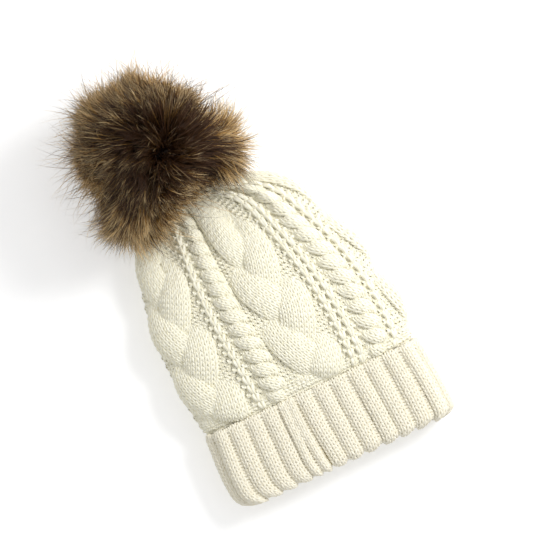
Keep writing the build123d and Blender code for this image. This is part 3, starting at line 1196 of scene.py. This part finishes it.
def build_fur():
    """Hairs from the skin outwards, drawn together into clumps and locks."""
    random = np.random.default_rng(21)
    d = sphere_points(HAIRS, 5)
    d = d[angle_from(d, -POM_AXIS) > FUNNEL_IN * 1.08]
    count = len(d)
    clump_d = sphere_points(CLUMPS, 6)
    clump = nearest(d, clump_d)
    clump_random = random.normal(0, 1, (CLUMPS, 6))
    patch = waves(31, 6, *((axis, 1.5) for axis in (d * 3.0).T))
    lock_d = sphere_points(LOCKS, 8)
    lock = nearest(d, lock_d)
    lock_random = random.normal(0, 1, (LOCKS, 5))
    reach = FUR_REACH + tufted(d) + 1.5 * patch + 2.2 * clump_random[clump, 0]
    reach += 1.8 * lock_random[lock, 0] + random.normal(0, 2.4, count)
    reach -= random.exponential(7.5, count)
    wisp = random.random(count) < WISPS
    reach[wisp] += random.exponential(8.0, wisp.sum()) + 3
    reach = np.clip(reach, SKIN_RADIUS + 8, 100.0)[:, None]
    root = skin_radius(d)[:, None] - 1.5
    # Hair near the funnel parts round the hat's tip.
    away = POM_AXIS + d * (d @ -POM_AXIS)[:, None]
    near_tip = 1 - smooth_step(angle_from(d, -POM_AXIS), FUNNEL_IN, FUNNEL_FUR)
    draped = np.where(random.random(count) < DRAPED, DRAPED_LEAN, PARTED_LEAN)
    lean = combed(d) * (1 - near_tip)[:, None] + unit(away) * (near_tip * draped)[:, None]
    own = random.normal(0, 0.05, d.shape)
    own[wisp] *= 3.0
    to_clump = 0.45 * (clump_d[clump] - d) + 0.12 * clump_random[clump, :3]
    to_lock = 0.45 * (lock_d[lock] - d) + 0.07 * lock_random[lock, 1:4]
    v = np.linspace(0, 1, len(HAIR_TAPER))[None, :, None]
    way = d[:, None] + v**1.2 * to_clump[:, None] + v * to_lock[:, None] + v**2 * own[:, None]
    way = way + v**1.1 * lean[:, None]
    points = FUR_MIDDLE + unit(way) * (root[:, None] + (reach - root)[:, None] * v)
    points, under = laid_down(kept_inside(points), random)
    points, d, clump, lock, wisp, patch = (rows[~under] for rows in (points, d, clump, lock, wisp, patch))
    count = len(points)
    width = HAIR_WIDTH * (1 - 0.45 * wisp) * np.exp(random.normal(0, 0.2, count))
    own = random.normal(0, 0.14, count)
    kind = random.random(count)
    width *= 1 + 0.25 * (kind < DARK) + 0.5 * (kind > 1 - BRIGHT)
    tone = hair_tone(d, patch, wisp, kind, clump_random[clump, 5], lock_random[lock, 4], own)
    for number, group in enumerate(np.array_split(np.arange(count), HAIR_GROUPS), 1):
        hair_piece(f"pom_hair_{number}", points[group], width[group, None] * HAIR_TAPER, tone[group])


def hair_piece(name, lines, widths, tone):
    """Hairs as three-sided tapered tubes that end in a point."""
    count, samples = lines.shape[:2]
    body = rings_round(lines, np.array((0.31, 0.52, 0.79)), widths, HAIR_SIDES)[:, :-1]
    per_hair = (samples - 1) * HAIR_SIDES + 1
    points = np.concatenate([body.reshape(count, -1, 3), lines[:, -1:]], axis=1)
    quads = grid_faces(samples - 1, HAIR_SIDES, closed=True)
    last = (samples - 2) * HAIR_SIDES
    tips = [(last + k, last + (k + 1) % HAIR_SIDES, per_hair - 1) for k in range(HAIR_SIDES)]
    triangles = np.concatenate([quads[:, [0, 1, 2]], quads[:, [0, 2, 3]], tips, [(2, 1, 0)]])
    faces = (triangles[None] + (np.arange(count) * per_hair)[:, None, None]).reshape(-1, 3)
    level = np.append(np.repeat(np.arange(samples - 1), HAIR_SIDES), samples - 1) / (samples - 1)
    u = np.broadcast_to(tone[:, None], (count, per_hair))
    v = np.broadcast_to(0.01 + 0.98 * level, (count, per_hair))
    uv = stacked(u, v).reshape(-1, 2)[faces.ravel()]
    belongs(add_mesh(name, points, faces, FUR, uv), "brown_fur", "pom")


def build_skin():
    """The dark furry skin under the hair, closed, with the funnel for the hat's tip."""
    rows, columns = 90, 140
    polar = np.linspace(0.004, math.pi - 0.004, rows)
    turn = np.arange(columns) / columns * TAU
    polar, turn = (grid[..., None] for grid in np.meshgrid(polar, turn, indexing="ij"))
    side = unit(np.cross(POM_AXIS, (1, 0, 0)))
    other = np.cross(POM_AXIS, side)
    d = np.cos(polar) * POM_AXIS + np.sin(polar) * (np.cos(turn) * side + np.sin(turn) * other)
    flat = d.reshape(-1, 3)
    shaggy = waves(41, 8, *((axis, 2.0) for axis in (flat * 9.0).T))
    points = FUR_MIDDLE + flat * (skin_radius(flat) + 0.8 * shaggy)[:, None]
    points[:, 2] = np.maximum(points[:, 2], FLOOR + 0.6)
    faces = grid_faces(rows, columns, closed=True)
    last = (rows - 1) * columns
    caps = [(k, (k + 1) % columns, rows * columns) for k in range(columns)]
    caps += [(last + (k + 1) % columns, last + k, rows * columns + 1) for k in range(columns)]
    points = np.concatenate([points, [points[:columns].mean(0)], [points[last:].mean(0)]])
    triangles = np.concatenate([faces[:, [0, 2, 1]], faces[:, [0, 3, 2]], caps])
    skin = add_mesh("pom_skin", points, triangles, UNDERFUR)
    belongs(skin, "brown_fur", "pom", "pom_fur_cover", "pom_stuffing")


# ---- camera, floor and lights

VIEW_MIDDLE = (0.0162, -0.0095)
VIEW_FIELD = 0.442
VIEW_ROLL = math.radians(28.19)
CAMERA_HEIGHT = 2.2
TABLE_REACH = 4.0
TABLE_GLOW = 0.30
SKY_STRENGTH = 0.65
LIGHT_DISTANCE = 1.15
# Name, direction to the right, up the picture and above the table, size in m and power in W.
LIGHTS = [("key", 0.80, 0.60, 1.0, 0.40, 9.0), ("fill", 0.3, 0.9, 1.3, 1.2, 2.0)]


def build_camera():
    """Looks straight down, with the picture turned as in the photo."""
    camera = add_object("camera", bpy.data.cameras.new("camera"))
    camera.location = (*VIEW_MIDDLE, CAMERA_HEIGHT)
    camera.rotation_euler = (0, 0, -VIEW_ROLL)
    camera.data.sensor_width = 36.0
    camera.data.lens = camera.data.sensor_width * (CAMERA_HEIGHT - CUFF_THICKNESS * MM) / VIEW_FIELD
    bpy.context.scene.camera = camera


def build_floor():
    """A plain pale table."""
    material, tree, shader = new_material("pale_table", 0.9, Specular_IOR_Level=0.1,
                                          Emission_Color=(1, 1, 1, 1), Emission_Strength=TABLE_GLOW)
    grain = texture(tree, "Noise", object_place(tree), Scale=30.0, Detail=3.0)
    paint(tree, shader, grain, (0.3, (0.86, 0.86, 0.86)), (0.7, (0.88, 0.88, 0.88)))
    mesh = bpy.data.meshes.new("table")
    corners = [(x * TABLE_REACH, y * TABLE_REACH, 0) for x, y in ((-1, -1), (1, -1), (1, 1), (-1, 1))]
    mesh.from_pydata(corners, [], [(0, 1, 2, 3)])
    mesh.materials.append(material)
    add_object("table", mesh)


def build_lights():
    """A soft key light from the picture's upper right, a weak fill and an even sky."""
    scene = bpy.context.scene
    scene.view_settings.view_transform = "Standard"
    world = bpy.data.worlds.new("studio")
    world.use_nodes = True
    world.node_tree.nodes["Background"].inputs["Strength"].default_value = SKY_STRENGTH
    world.node_tree.nodes["Background"].inputs["Color"].default_value = (1, 1, 1, 1)
    scene.world = world
    right = np.array((math.cos(VIEW_ROLL), -math.sin(VIEW_ROLL), 0))
    up = np.array((math.sin(VIEW_ROLL), math.cos(VIEW_ROLL), 0))
    for name, across, along, above, size, power in LIGHTS:
        lamp = bpy.data.lights.new(name, "AREA")
        lamp.size = size
        lamp.energy = power
        light = add_object(name, lamp)
        place = unit(right * across + up * along + (0, 0, above)) * LIGHT_DISTANCE
        light.location = place
        light.rotation_euler = Vector(-place).to_track_quat("-Z", "Y").to_euler()


# ---- build

build_crown()
build_cuff()
build_band()
build_skin()
build_fur()
build_seam()
build_label()
build_gathering()
for metal in ("socket_cap", "snap_socket", "snap_stud", "stud_cap"):
    dress(metal, SNAP)
dress("backing_washer", PAD)
dress("pom_base_disc", BACKING)
dress("pom_drawstring", THREAD)

build_camera()
build_floor()
build_lights()
